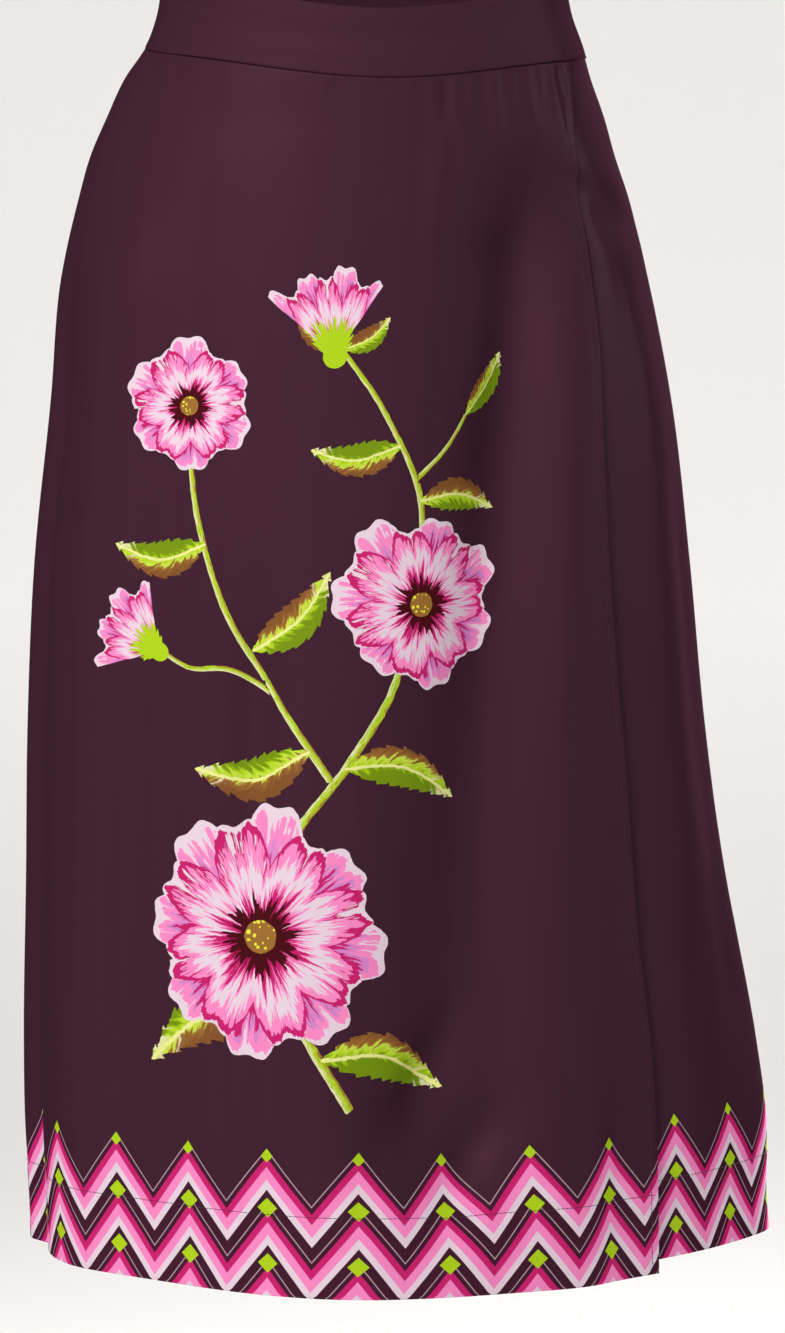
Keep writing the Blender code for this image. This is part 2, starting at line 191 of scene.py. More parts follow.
# Rows and columns of the shells, as stretches of so many equal steps
PANEL_ROWS = [(0, 7, 6), (7, 64, 24), (64, 678, 136), (678, 694, 16), (694, 734, 12),
              (734, 736, 1)]
UPPER_COLUMNS = [(0, 0.006, 1), (0.006, 0.6, 112), (0.6, 0.96, 96), (0.96, 0.995, 13),
                 (0.995, 1, 1)]
UNDER_COLUMNS = [(0, 0.008, 1), (0.008, 0.05, 10), (0.05, 0.992, 120), (0.992, 1, 1)]
BACK_COLUMNS = [(0, 0.006, 1), (0.006, 0.32, 48), (0.32, 0.34, 14), (0.34, 0.66, 48),
                (0.66, 0.68, 14), (0.68, 0.994, 48), (0.994, 1, 1)]
BAND_COLUMNS = [(0, 0.003, 1), (0.003, 0.997, 330), (0.997, 1, 1)]
BAND_ROWS = [(0, 0.05, 1), (0.05, 0.95, 18), (0.95, 1, 1)]
RIM_RINGS = 2

# Sewing thread: half its thickness, drawn a little stout to show
THREAD = 0.20 * MM
STITCH_PITCH, STITCH_LENGTH = 3.0 * MM, 2.5 * MM
STITCH_RINGS, STITCH_SIDES = 5, 6
STITCH_RISE, STITCH_SUNK = 1.15, 0.45  # of THREAD: the arch out of the cloth, and its ends below
TANGENT_STEP = 0.3 * MM
HEM_STITCH_LINE = 48.5 * MM  # above the hem
EDGE_STITCH_LINE = 6 * MM  # in from the free edge
EDGE_LIFT, EDGE_LIFT_WIDTH = 0.8 * MM, 16 * MM  # how far the free edge stands off lower down
EDGE_LIFT_FROM, EDGE_LIFT_EASE = 0.25, 0.3

# Printed border: a zigzag of bands that follows the hem
BORDER_TOP, BORDER_REPEAT, BORDER_ROW = 88 * MM, 55.3 * MM, 33 * MM
DIAMOND_PLACE, DIAMOND_LEAN, DIAMOND_HALF = 0.43, 1.1, 6.4 * MM

# Printed spray of flowers, in millimetres from the front's middle to the wearer's left, and up
# from the hem
Stem = namedtuple("Stem", "thick points")
STEMS = [Stem(*row) for row in (
    (2.6, [(-6, 112), (-30, 150), (-58, 205), (-46, 268), (-12, 318), (14, 362), (30, 415)]),
    (2.0, [(-20, 306), (-52, 352), (-84, 404), (-104, 462), (-112, 520)]),
    (1.8, [(34, 440), (30, 486), (8, 528), (-22, 566)]),
    (1.6, [(-56, 358), (-84, 372), (-112, 372), (-134, 384)]),
    (1.4, [(27, 492), (48, 512), (60, 530)]),
)]
Leaf = namedtuple("Leaf", "base tip bend width hue")
LEAVES = [Leaf(*row) for row in (
    ((-24, 142), (58, 126), 12, 0.17, 0.30),
    ((-38, 168), (-140, 132), -16, 0.16, 0.55),
    ((-14, 316), (60, 300), 12, 0.16, 0.35),
    ((-34, 326), (-112, 312), 12, 0.17, 0.60),
    ((-70, 384), (-20, 436), -8, 0.17, 0.45),
    ((-98, 446), (-160, 444), 10, 0.18, 0.40),
    ((31, 480), (86, 470), 8, 0.18, 0.55),
    ((18, 512), (-38, 506), 9, 0.18, 0.35),
    ((60, 530), (84, 566), -4, 0.20, 0.30),
    ((-22, 566), (-52, 590), 4, 0.20, 0.35),
    ((-22, 566), (6, 588), -4, 0.20, 0.60),
)]
# A bloom's petals to the full turn, half the fan of them that shows, in radians, and its eye's
# share of the radius, which is 0 for a bud seen from the side
Bloom = namedtuple("Bloom", "middle radius heading petals fan eye")
BLOOMS = [Bloom(*row) for row in (
    ((-62, 214), 80, 0.3, 8, 4.0, 0.24),
    ((34, 418), 56, 0.9, 7, 4.0, 0.25),
    ((-112, 528), 42, 0.1, 6, 4.0, 0.26),
    ((-26, 562), 56, 1.75, 13, 0.72, 0.0),
    ((-130, 380), 46, 2.55, 11, 0.86, 0.0),
)]
FAR_OFF = 9.0  # map of the faces without print
STEM_UNIT = 40.0  # millimetres along a stem to one unit of its map
# A path's step in millimetres, its fewest steps, and how many it runs on past each end
PATH_STEP, LEAST_STEPS, PATH_SPARE = 2.0, 8, 12
PAST_END_COST = 3  # a place past a motif's end counts as this much further off

# Satin: the width at which its floats are drawn, and the slants between which its shine fades
FLOAT_WIDTH = 0.6 * MM
SHINE_FULL, SHINE_GONE = 0.1, 0.42

# Camera: a long lens, a little above the waist
CAMERA_PLACE, CAMERA_TARGET = (0.01566, -5.0, 0.17), (0.01566, 0.0, -0.4208)
CAMERA_LENS, CAMERA_SENSOR = 221.4, 36.0
# Studio: a round floor that sweeps up into a low wall
FLOOR_DROP, FLOOR_RADIUS, FLOOR_SWEEP, WALL_TOP, FLOOR_SPOKES = 1.15, 7.0, 2.5, 3.0, 96


def smooth_curve(at, values, where):
    """The values on a smooth curve through the points given."""
    at, values = np.array(at), np.array(values)
    slopes = np.gradient(values, at)
    where = np.clip(where, at[0], at[-1])
    left = np.clip(np.searchsorted(at, where) - 1, 0, len(at) - 2)
    step = at[left + 1] - at[left]
    s = (where - at[left]) / step
    rise = values[left + 1] - values[left]
    start = slopes[left] * step - rise
    end = rise - slopes[left + 1] * step
    return values[left] + rise * s + s * (1 - s) * (start * (1 - s) + end * s)


def column_of(rows, name, drop):
    return smooth_curve([row.drop for row in rows], [getattr(row, name) for row in rows], drop)


def ease(share):
    """0 to 1, with a smooth start and end."""
    share = np.clip(share, 0.0, 1.0)
    return share * share * (3 - 2 * share)


def bell(off):
    """1 in the middle, and fading to either side."""
    return np.exp(-(off**2) / 2)


def beside(*values):
    """Values side by side, along a last axis of their own."""
    return np.stack(values, axis=-1)


def unit(vectors):
    return vectors / np.linalg.norm(vectors, axis=-1, keepdims=True)


def half_turns(way):
    """Which half of the body a way lies on, and -1 to 1 across that half."""
    half = np.floor((way + 1) / 2)
    return half, way - 2 * half


def plan(way, drop):
    """X and Y of the section at this drop."""
    half, across = half_turns(way)
    front = half % 2 == 0
    heading = np.where(front, 1.0, -1.0)
    ratio = np.abs(np.sin(across * math.pi / 2))
    left, right = column_of(SECTIONS, "left", drop), column_of(SECTIONS, "right", drop)
    width = np.where(across * heading > 0, left, right)
    depth = np.where(front, column_of(SECTIONS, "front", drop), column_of(SECTIONS, "back", drop))
    power = np.where(front, column_of(SECTIONS, "power", drop), BACK_POWER)
    soft = MIDDLE_SOFTNESS**2
    least, most = soft ** (power / 2), (1 + soft) ** (power / 2)
    share = ((ratio**2 + soft) ** (power / 2) - least) / (most - least)
    reach = np.clip(1 - share, 0.0, 1.0) ** (1 / power)
    return width * np.sign(across) * ratio * heading, -heading * depth * reach


def outward(way, drop):
    """The level direction that points out of the cloth."""
    step = 1e-3
    ahead, behind = plan(way + step, drop), plan(way - step, drop)
    x, y = ahead[0] - behind[0], ahead[1] - behind[1]
    length = np.hypot(x, y)
    return y / length, -x / length


def quarter_length(drop):
    """The mean length of cloth in one way, a quarter of the way round."""
    names = ("left", "right", "front", "back")
    return sum(column_of(SECTIONS, name, drop) for name in names) * math.pi / 8


def fold_relief(way, drop, folds):
    """How far soft folds or creases move the cloth out. They swing in above and widen below."""
    half, across = half_turns(way)
    place = across + 2 * (half % 2)
    relief = np.zeros_like(drop)
    for fold in folds:
        run = np.clip((drop - fold.top) / (fold.foot - fold.top), 0.0, 1.0)
        middle = fold.way_top + (fold.way_foot - fold.way_top) * np.sqrt(run)
        ways_off = (place - middle + TURN / 2) % TURN - TURN / 2
        width = fold.width * (FOLD_NARROW + FOLD_WIDEN * run)
        off = ways_off * quarter_length(drop) / width
        fade = min(FOLD_FADE, FOLD_FADE_SHARE * (fold.foot - fold.top))
        shown = ease((drop - fold.top) / fade) * ease((fold.foot - drop) / fade)
        relief += fold.depth * shown * bell(off)
    return relief


def gather_relief(way, drop):
    """The short ridges under the waist seam, on the upper front alone."""
    below = drop - seam_drop(way)
    relief = np.zeros_like(drop)
    for gather in GATHERS:
        run = below / gather.length
        off = (way - gather.way - gather.lean * run) * quarter_length(drop) / gather.width
        shown = ease(below / GATHER_RISE) * ease(GATHER_FALL * (1 - run))
        ridge = bell(off) - GATHER_HOLLOW * bell(off / 2)
        relief += gather.height * shown * ridge
    return relief


def pucker_relief(along, off):
    """The small uneven waves beside a row of stitches: along it, and off it to either side."""
    waves = sum(height * np.sin(2 * math.pi * along / length + length * PUCKER_PHASE)
                for length, height in PUCKERS)
    return waves * bell(off / PUCKER_REACH)


def dart_relief(way, drop):
    """The grooves of the back's two darts, and the soft fullness at and past their points."""
    run = (drop - seam_drop(way)) / DART_LENGTH
    relief = np.zeros_like(drop)
    for dart in DART_WAYS:
        off = (way - dart) * quarter_length(drop)
        groove = -DART_DEPTH * bell(off / DART_WIDTH)
        swell = DART_SWELL * bell(off / DART_SWELL_WIDTH)
        # The groove closes over its last quarter, and the fullness ends half its length further on
        relief += groove * ease((1 - run) * 4) + swell * ease(run * 2) * ease((1.5 - run) * 2)
    return relief


def lap(way, drop):
    """How far the wrap's upper layer lies outside the lower one."""
    below = ease((drop - BAND_HEIGHT) / LAP_EASE)
    full = LAP_AT_BAND + (LAP_BELOW - LAP_AT_BAND) * below
    return full * ease((way - UPPER_LAYER) / LAP_IN)


def skin(way, drop, out):
    """Points of the cloth, this far out from the lower layer."""
    x, y = plan(way, drop)
    x_out, y_out = outward(way, drop)
    reach = out + fold_relief(way, drop, FOLDS)
    return beside(x + x_out * reach, y + y_out * reach, -drop)


def seam_drop(way):
    """The drop of the waist seam, which tilts to the left and dips near the front's middle."""
    half, across = half_turns(way)
    front = half % 2 == 0
    dip = bell((across - DIP_MIDDLE) / DIP_SPREAD)
    tilt = np.where(front, 1 + across, 1 - across) / 2
    return BAND_HEIGHT + BAND_TILT * tilt + np.where(front, BAND_DIP * dip, 0.0)


def hem_drop(way):
    """The drop of the hem: level on the upper front, higher under it, and easing over the back."""
    back_share = ease((way - LEFT_SEAM) / 2)
    return SKIRT_LENGTH - UNDER_RISE * (1 - back_share)


def free_edge_way(drop):
    """The way of the upper front's free edge."""
    ratio = column_of(FREE_EDGE, "x", drop) / column_of(SECTIONS, "left", drop)
    return FRONT_MIDDLE + 2 / math.pi * np.arcsin(ratio)


def spaced(stretches):
    """Shares from 0 to 1, given as stretches of so many equal steps."""
    values = [np.linspace(a, b, steps, endpoint=False) for a, b, steps in stretches]
    last = stretches[-1][1]
    return np.append(np.concatenate(values), last) / last


def lengths_along(points, axis):
    """The length of cloth from the first row or column of points to each."""
    steps = np.linalg.norm(np.diff(points, axis=axis), axis=-1)
    start = np.zeros_like(np.take(steps, [0], axis=axis))
    return np.concatenate([start, np.cumsum(steps, axis=axis)], axis=axis)


def put_in_scene(name, data):
    made = bpy.data.objects.new(name, data)
    bpy.context.scene.collection.objects.link(made)
    return made


def tube(rings, sides):
    """The faces round a tube, whose points follow one another ring by ring."""
    first = np.arange(sides)
    after = np.roll(first, -1)
    belt = beside(first, after, after + sides, first + sides)
    return np.concatenate([belt + k * sides for k in range(rings - 1)])


def shell(name, outer, inner, maps, inside_slots=0):
    """A closed shell between two grids of points, with its edges rolled over like a fold."""
    rows, columns = outer.shape[:2]
    index = np.arange(rows * columns).reshape(rows, columns)
    around = np.concatenate([index[0, :-1], index[:-1, -1], index[-1, :0:-1], index[:0:-1, 0]])
    outer, inner = outer.reshape(-1, 3).copy(), inner.reshape(-1, 3).copy()
    row, column = np.divmod(around, columns)
    within = np.clip(row, 1, rows - 2) * columns + np.clip(column, 1, columns - 2)
    middle = (outer + inner) / 2
    away = unit(middle[around] - middle[within])
    half = np.linalg.norm(outer[around] - inner[around], axis=1, keepdims=True) / 2
    outer[around] -= away * half
    inner[around] -= away * half
    centre, lift = (outer[around] + inner[around]) / 2, (outer[around] - inner[around]) / 2
    angles = math.pi * np.arange(1, RIM_RINGS + 1) / (RIM_RINGS + 1)
    rings = [centre + lift * math.cos(a) + away * half * math.sin(a) for a in angles]
    points = np.concatenate([outer, inner, *rings])
    source = np.concatenate([index.ravel(), index.ravel(), *[around] * RIM_RINGS])

    quads = beside(index[:-1, :-1], index[1:, :-1], index[1:, 1:], index[:-1, 1:])
    quads = quads.reshape(-1, 4)
    first_ring = np.arange(len(around)) + 2 * rows * columns
    loops = [around, *(first_ring + k * len(around) for k in range(RIM_RINGS)),
             around + rows * columns]
    strips = [beside(a, np.roll(a, -1), np.roll(b, -1), b) for a, b in zip(loops[:-1], loops[1:])]
    faces = np.concatenate([quads, quads[:, ::-1] + rows * columns, *strips])

    mesh = bpy.data.meshes.new(name)
    mesh.vertices.add(len(points))
    mesh.vertices.foreach_set("co", points.ravel().astype(np.float32))
    mesh.loops.add(faces.size)
    mesh.loops.foreach_set("vertex_index", faces.ravel().astype(np.int32))
    mesh.polygons.add(len(faces))
    mesh.polygons.foreach_set("loop_start", np.arange(0, faces.size, 4, dtype=np.int32))
    mesh.polygons.foreach_set("loop_total", np.full(len(faces), 4, dtype=np.int32))
    slots = np.zeros(len(faces), dtype=np.int32)
    slots[len(quads):2 * len(quads)] = np.ravel(inside_slots)
    mesh.polygons.foreach_set("material_index", slots)
    mesh.update(calc_edges=True)
    mesh.shade_smooth()
    for map_name, values in maps.items():
        layer = mesh.uv_layers.new(name=map_name)
        at_loops = values.reshape(-1, 2)[source[faces.ravel()]]
        layer.uv.foreach_set("vector", at_loops.ravel().astype(np.float32))
    piece = put_in_scene(name, mesh)
    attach(piece, "root")
    return piece, quads, faces


Panel = namedtuple("Panel", "piece quads faces cut outer above_hem in_from_edge")


def panel(name, node, first_way, last_way, columns, upper=False, free_edge=None, grain=0.0):
    """A panel's satin from the waist seam to the hem. Its last way may depend on the drop."""
    across, down = np.meshgrid(spaced(columns), spaced(PANEL_ROWS))
    way = first_way + (last_way(SKIRT_LENGTH * down) - first_way) * across
    for _ in range(3):  # the drops depend on the ways and these on the drops: both settle soon
        top, foot = seam_drop(way) + SEAM_GAP / 2, hem_drop(way)
        drop = top + (foot - top) * down
        way = first_way + (last_way(drop) - first_way) * across
    flat = skin(way, drop, 0.0)
    lengths = lengths_along(flat, 1)
    middle_column = np.abs(way[len(way) // 2] - (grain + TURN * upper)).argmin()
    cut_u = lengths - lengths[:, [middle_column]]
    above_hem = lengths_along(flat[::-1], 0)[::-1]
    hem_u = np.broadcast_to(cut_u[-1], cut_u.shape)

    off_stitches = above_hem - HEM_STITCH_LINE
    out = fold_relief(way, drop, CREASES)
    out += pucker_relief(hem_u, off_stitches)
    out -= STITCH_SINK * bell(off_stitches / STITCH_SINK_WIDTH)
    out += TURN_STEP * ease((HEM_TURN - above_hem) / TURN_STEP_WIDTH + 0.5)
    below_seam = drop - seam_drop(way)
    drawn = pucker_relief(cut_u * SEAM_PUCKER_CLOSER, below_seam * SEAM_PUCKER_NEAR)
    out += SEAM_PUCKER * drawn * ease(below_seam / SEAM_PUCKER_RISE)
    turned = above_hem < HEM_TURN
    in_from_edge = None
    if free_edge is not None:
        in_from_edge = np.abs(lengths - lengths[:, [free_edge]])
        off_stitches = in_from_edge - EDGE_STITCH_LINE
        out += pucker_relief(above_hem, off_stitches)
        out -= STITCH_SINK * bell(off_stitches / STITCH_SINK_WIDTH)
        turned |= in_from_edge < EDGE_TURN
    if upper:
        out += lap(way, drop) + gather_relief(way, drop)
        lifted = EDGE_LIFT * ease((drop - EDGE_LIFT_FROM) / EDGE_LIFT_EASE)
        out += lifted * np.exp(-((in_from_edge / EDGE_LIFT_WIDTH) ** 2))
    if node == "back":
        out += dart_relief(way, drop)
    outer = skin(way, drop, out)
    inner = skin(way, drop, out - np.where(turned, TURNED_CLOTH, CLOTH))
    at_side_seam = np.isin(way, (LEFT_SEAM, UPPER_LAYER))
    for points in (outer, inner):
        points[at_side_seam, 1] += np.sign(points[..., 1].mean()) * SEAM_GAP / 2

    maps = {"cut": beside(cut_u, above_hem), "hemline": beside(hem_u, above_hem)}
    inside_slots = np.where(turned[1:, 1:] & turned[:-1, :-1], 2, 1)
    piece, quads, faces = shell(name, outer, inner, maps, inside_slots)
    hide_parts(node)
    return Panel(piece, quads, faces, maps["cut"].reshape(-1, 2), outer, above_hem, in_from_edge)


def waistband():
    """The band's satin: one folded strip, once round the body and on over itself."""
    across, down = np.meshgrid(spaced(BAND_COLUMNS), spaced(BAND_ROWS))
    way = INNER_END + (BAND_END - INNER_END) * across
    foot = seam_drop(way) - SEAM_GAP / 2
    drop = foot - BAND_HEIGHT * (1 - down)
    out = BAND_PROUD + LAP_AT_BAND * ease((way - UPPER_LAYER) / LAP_IN)
    half, place = half_turns(way)
    place = place + 2 * (half % 2)
    for ripple in BAND_RIPPLES:
        off = (down - ripple.down) * BAND_HEIGHT / ripple.width
        shown = ease((place - ripple.way_start) * 3) * ease((ripple.way_end - place) * 3)
        out = out + ripple.height * shown * bell(off)
    lengths = lengths_along(skin(way, drop, 0.0), 1)
    drawn = pucker_relief(lengths * BAND_PUCKER_CLOSER, (1 - down) * BAND_HEIGHT)
    out = out + SEAM_PUCKER * drawn
    outer, inner = skin(way, drop, out), skin(way, drop, out - BAND_CLOTH)
    maps = {"cut": beside(lengths, BAND_HEIGHT * (1 - down))}
    piece, _, _ = shell("waistband_satin", outer, inner, maps)
    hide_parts("waistband")
    return piece


def seam_turnings(name, seam_way):
    """The turnings of a side seam, pressed open inside it."""
    columns, rows = np.linspace(-1, 1, TURNING_COLUMNS), np.linspace(0, 1, TURNING_ROWS)
    across, down = np.meshgrid(columns, rows)
    top = seam_drop(np.full_like(down, seam_way)) + TURNING_TOP_GAP
    foot = SKIRT_LENGTH - UNDER_RISE - HEM_TURN - TURNING_FOOT_GAP
    drop = top + (foot - top) * down
    way = seam_way + across * TURNING / quarter_length(drop)
    out = fold_relief(way, drop, CREASES) - CLOTH - TURNING_GAP
    groove = SEAM_GROOVE * bell(across / SEAM_GROOVE_WIDTH)
    outer = skin(way, drop, out - groove)
    inner = skin(way, drop, out - groove - TURNING_CLOTH)
    maps = {"cut": beside(lengths_along(outer, 1), -drop)}
    piece, _, _ = shell(name, outer, inner, maps)
    return piece


def stitching(name, line, away):
    """A row of lockstitches: each thread rises out of the cloth and dips back into it."""
    run = lengths_along(line, 0)
    starts = np.arange(STITCH_PITCH, run[-1] - STITCH_PITCH, STITCH_PITCH)
    share = np.linspace(0, 1, STITCH_RINGS)
    at = starts[:, None] + share * STITCH_LENGTH
    rise = THREAD * (STITCH_RISE * np.sin(math.pi * share) - STITCH_SUNK)

    def along(values, where):
        return np.stack([np.interp(where, run, values[:, k]) for k in range(3)], axis=-1)

    up = along(away, at)
    tangent = along(line, at + TANGENT_STEP) - along(line, at - TANGENT_STEP)
    side = np.cross(unit(tangent), up)
    centre = along(line, at) + up * rise[:, None]
    turn = 2 * math.pi * np.arange(STITCH_SIDES) / STITCH_SIDES
    ring = up[:, :, None] * np.cos(turn)[:, None] + side[:, :, None] * np.sin(turn)[:, None]
    points = (centre[:, :, None] + ring * THREAD).reshape(-1, 3)

    per_stitch = STITCH_RINGS * STITCH_SIDES
    faces = tube(STITCH_RINGS, STITCH_SIDES) + np.arange(len(starts))[:, None, None] * per_stitch
    faces = faces.reshape(-1, 4).tolist()
    first = np.arange(STITCH_SIDES)
    caps = [first[::-1], first + per_stitch - STITCH_SIDES]
    faces += [(cap + k * per_stitch).tolist() for k in range(len(starts)) for cap in caps]
    mesh = bpy.data.meshes.new(name)
    mesh.from_pydata(points.tolist(), [], faces)
    mesh.shade_smooth()
    piece = put_in_scene(name, mesh)
    piece.data.materials.append(thread)
    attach(piece, "root")
    return piece


def line_on(points, measure, level):
    """The line on a grid where a measure reaches a level, and the way out of the cloth there."""
    away = unit(np.cross(np.gradient(points, axis=0), np.gradient(points, axis=1)))
    both = np.concatenate([points, away], axis=-1)
    found = []
    for row, values in zip(both, measure):
        order = np.argsort(values)
        found.append([np.interp(level, values[order], row[order, k]) for k in range(6)])
    found = np.array(found)
    return found[:, :3], found[:, 3:]


def hem_stitching(name, cloth):
    """The stitching that holds the hem's turn-up."""
    line, away = line_on(cloth.outer.transpose(1, 0, 2), cloth.above_hem.T, HEM_STITCH_LINE)
    return stitching(name, line, -away)


def edge_stitching(name, cloth):
    """The stitching that holds a free edge's turning."""
    line, away = line_on(cloth.outer, cloth.in_from_edge, EDGE_STITCH_LINE)
    return stitching(name, line[2:-2], away[2:-2])


def smooth_path(points):
    """A smooth line through a few points, in equal steps."""
    points = np.array(points, float)
    at = lengths_along(points, 0)
    where = np.linspace(0, at[-1], max(LEAST_STEPS, int(at[-1] / PATH_STEP)))
    return np.stack([smooth_curve(at, points[:, k], where) for k in (0, 1)], axis=-1)


def beside_path(path, places):
    """How far along a path each place lies, and how far to its left. The path runs on a little."""
    first, last = path[0] - path[1], path[-1] - path[-2]
    before, after = path[0] + first * PATH_SPARE, path[-1] + last * PATH_SPARE
    path = np.concatenate([[before], path, [after]])
    steps = np.diff(path, axis=0)
    lengths = np.linalg.norm(steps, axis=1)
    starts = np.concatenate([[0.0], np.cumsum(lengths)])[:-1] - lengths[0]
    best = np.full(len(places), 1e9)
    along, across = np.zeros(len(places)), np.zeros(len(places))
    for start, step, length, begun in zip(path[:-1], steps, lengths, starts):
        off = places - start
        run = np.clip(off @ step / length**2, 0.0, 1.0)
        gap = off - run[:, None] * step
        distance = np.linalg.norm(gap, axis=1)
        left = np.sign(step[0] * gap[:, 1] - step[1] * gap[:, 0])
        nearer = distance < best
        best = np.where(nearer, distance, best)
        along = np.where(nearer, begun + run * length, along)
        across = np.where(nearer, left * distance, across)
    return along, across


def beside_motif(points, places):
    """Each place's run along a motif and gap to its left, the motif's length, and how far off."""
    path = smooth_path(points)
    length = np.linalg.norm(np.diff(path, axis=0), axis=1).sum()
    along, across = beside_path(path, places)
    past = np.maximum(0, np.maximum(-along, along - length))
    return along, across, length, np.abs(across) + PAST_END_COST * past


def print_layer(mesh, name, quads, faces, motifs):
    """Gives each face of the outside the map of its nearest motif, and that motif's numbers."""
    coords, off, forms = (np.array(values) for values in zip(*motifs))
    nearest = off[:, quads].mean(axis=-1).argmin(axis=0)
    values = np.full((len(faces), 4, 2), FAR_OFF)
    values[:len(quads)] = coords[nearest[:, None], quads]
    layer = mesh.uv_layers.new(name=name)
    layer.uv.foreach_set("vector", values.ravel().astype(np.float32))
    numbers = np.zeros((len(faces), 3))
    numbers[:len(quads)] = forms[nearest]
    attribute = mesh.attributes.new(name + "_form", "FLOAT_VECTOR", "FACE")
    attribute.data.foreach_set("vector", numbers.ravel().astype(np.float32))


def lay_print(piece, quads, faces, cut):
    """Places the spray's stems, leaves and blooms on the flat cut of the upper front."""
    places = cut / MM
    stems, leaves, blooms = [], [], []
    for stem in STEMS:
        along, across, length, off = beside_motif(stem.points, places)
        coords = beside(along / STEM_UNIT, across / stem.thick)
        stems.append((coords, off, (length / STEM_UNIT, 0.0, 0.0)))
    for leaf in LEAVES:
        base, tip = np.array(leaf.base, float), np.array(leaf.tip, float)
        side = np.array([base[1] - tip[1], tip[0] - base[0]]) / np.linalg.norm(tip - base)
        bow = (base + tip) / 2 + side * leaf.bend
        along, across, length, off = beside_motif([base, bow, tip], places)
        coords = beside(along, across) / length
        leaves.append((coords, off, (leaf.width, leaf.hue, length * MM)))
    for bloom in BLOOMS:
        off = (places - np.array(bloom.middle)) / bloom.radius
        cos, sin = math.cos(bloom.heading), math.sin(bloom.heading)
        coords = off @ np.array([[cos, -sin], [sin, cos]])
        numbers = (bloom.petals, bloom.fan, bloom.eye)
        blooms.append((coords, np.linalg.norm(off, axis=1), numbers))
    for name, motifs in (("stem", stems), ("leaf", leaves), ("bloom", blooms)):
        print_layer(piece.data, name, quads, faces, motifs)


def colour(hex_code):
    """A linear colour from its sRGB hex value."""
    values = [int(hex_code[k:k + 2], 16) / 255 for k in (0, 2, 4)]
    linear = [v / 12.92 if v <= 0.04045 else ((v + 0.055) / 1.055) ** 2.4 for v in values]
    return (*linear, 1.0)


def feed(tree, node, sockets):
    """Gives sockets, by name or number, a value each, or another node or one of its sockets."""
    for key, value in sockets.items():
        if isinstance(value, bpy.types.Node):
            value = next(out for out in value.outputs if out.enabled)
        if isinstance(value, bpy.types.NodeSocket):
            tree.links.new(value, node.inputs[key])
        elif value is not None:
            node.inputs[key].default_value = value


def add(tree, kind, *given, sockets=None, **settings):
    """Adds a node and feeds its sockets, in order or by name."""
    made = tree.nodes.new("ShaderNode" + kind)
    for name, value in settings.items():
        setattr(made, name, value)
    shown = [k for k, socket in enumerate(made.inputs) if socket.enabled]
    feed(tree, made, dict(zip(shown, given)))
    feed(tree, made, sockets or {})
    return made


def calc(tree, operation, *given):
    """Adds a step of arithmetic."""
    return add(tree, "Math", *given, operation=operation)


def times(tree, first, second):
    return calc(tree, "MULTIPLY", first, second)


def blend(tree, share, under, over):
    """Adds a mix of two colours."""
    return add(tree, "Mix", share, under, over, data_type="RGBA")


def noise(tree, place, scale, detail, **more):
    """Adds noise of this scale and detail."""
    return add(tree, "TexNoise", place, sockets={"Scale": scale, "Detail": detail, **more})


def split(tree, vector):
    """A vector's X, Y and Z."""
    outputs = add(tree, "SeparateXYZ", vector).outputs
    return outputs["X"], outputs["Y"], outputs["Z"]


def form_of(tree, motif):
    """The three numbers of the nearest motif, which the faces carry."""
    return split(tree, add(tree, "Attribute", attribute_name=motif + "_form").outputs["Vector"])


def ramp(tree, share, stops, interpolation="LINEAR"):
    """Adds a colour ramp of these stops: a share and a hex colour each."""
    made = add(tree, "ValToRGB", share)
    made.color_ramp.interpolation = interpolation
    while len(made.color_ramp.elements) < len(stops):
        made.color_ramp.elements.new(1.0)
    for element, (place, hex_code) in zip(made.color_ramp.elements, stops):
        element.position = place
        element.color = colour(hex_code)
    return made


# Dye and inks, sRGB
AUBERGINE, MAGENTA, DEEP, PINK = "3E1C2C", "BE2169", "84133F", "EC84BC"
LILAC, PALE, LIME, OCHRE = "CC80C0", "DCC8D6", "A5C81C", "94682F"
YELLOW, EYE, OUTLINE, CREAM = "E2DC3C", "430E14", "AE919E", "DCD6AC"


def satin_ground(tree, along_band):
    """The dyed ground, with faint streaks of warp threads that lie side by side. On the band they
    also stand in for its soft sheen streaks: painted sheen.
    """
    cut = add(tree, "UVMap", uv_map="cut")
    # Real streaks are a few threads wide, under 1 mm: they are drawn 2 to 12 mm wide to show
    # Along the band the streaks are partly a painted sheen, on the panels the warp's own tone
    stretch = (4.0, 170.0, 1.0) if along_band else (85.0, 2.5, 1.0)
    stretched = add(tree, "Mapping", cut, sockets={"Scale": stretch})
    streaks_and_sheen = noise(tree, stretched, 1.0, 3.5)
    tone = add(tree, "MapRange", streaks_and_sheen, 0.3, 0.7, 0.0, 1.0)
    return blend(tree, tone, colour("3B1F2C"), colour("3D212F"))


